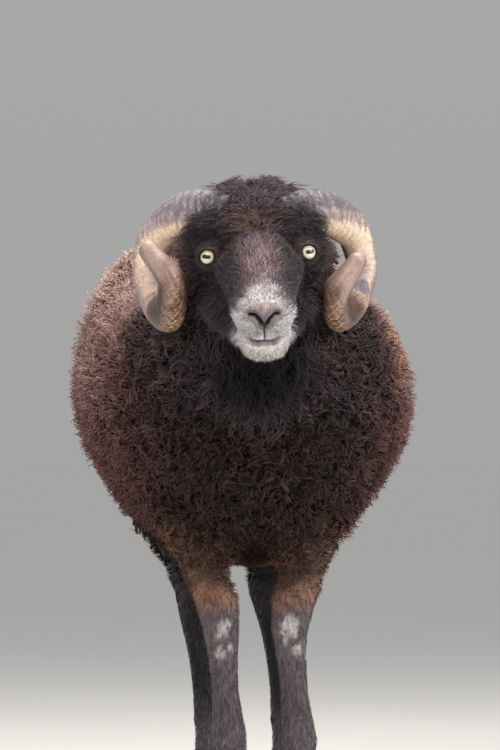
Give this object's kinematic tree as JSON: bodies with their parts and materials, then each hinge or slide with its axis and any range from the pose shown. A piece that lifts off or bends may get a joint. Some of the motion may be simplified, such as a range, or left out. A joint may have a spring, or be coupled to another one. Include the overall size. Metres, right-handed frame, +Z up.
{
  "type": "sheep",
  "caption": "Small dark horned ram standing square with raised head, coiled horns beside the cheeks, woolly body and slender short-haired legs.",
  "frame": {"origin": "on the floor, under the middle of the bounding box", "axes": "+Z up, the ram faces -Y, +X is its own left side"},
  "size_m": [0.3208, 0.7502, 0.5594],
  "materials": {
    "wool": "matte curly wool",
    "dark_hair": "short dark hair",
    "pale_hair": "short grey-white hair",
    "horn": "ringed horn, stands for keratin",
    "hoof": "dark hoof horn, stands for keratin",
    "iris": "wet eye, stands for a live eyeball"
  },
  "bodies": {
    "root": {"head": "dark_hair", "lower_jaw": "pale_hair", "topknot": "wool", "horn_right": "horn", "ear_right": "dark_hair", "eye_right": "iris", "horn_left": "horn", "ear_left": "dark_hair", "eye_left": "iris", "neck": "wool", "trunk": "wool", "tail": "wool", "foreleg_right_upper": "wool", "foreleg_right_cannon": "dark_hair", "foreleg_right_pastern": "dark_hair", "foreleg_right_claw_inner": "hoof", "foreleg_right_dewclaw_inner": "hoof", "foreleg_right_claw_outer": "hoof", "foreleg_right_dewclaw_outer": "hoof", "foreleg_left_upper": "wool", "foreleg_left_cannon": "dark_hair", "foreleg_left_pastern": "dark_hair", "foreleg_left_claw_inner": "hoof", "foreleg_left_dewclaw_inner": "hoof", "foreleg_left_claw_outer": "hoof", "foreleg_left_dewclaw_outer": "hoof", "hindleg_right_upper": "wool", "hindleg_right_cannon": "dark_hair", "hindleg_right_pastern": "dark_hair", "hindleg_right_claw_inner": "hoof", "hindleg_right_dewclaw_inner": "hoof", "hindleg_right_claw_outer": "hoof", "hindleg_right_dewclaw_outer": "hoof", "hindleg_left_upper": "wool", "hindleg_left_cannon": "dark_hair", "hindleg_left_pastern": "dark_hair", "hindleg_left_claw_inner": "hoof", "hindleg_left_dewclaw_inner": "hoof", "hindleg_left_claw_outer": "hoof", "hindleg_left_dewclaw_outer": "hoof"}
  },
  "joints": []
}
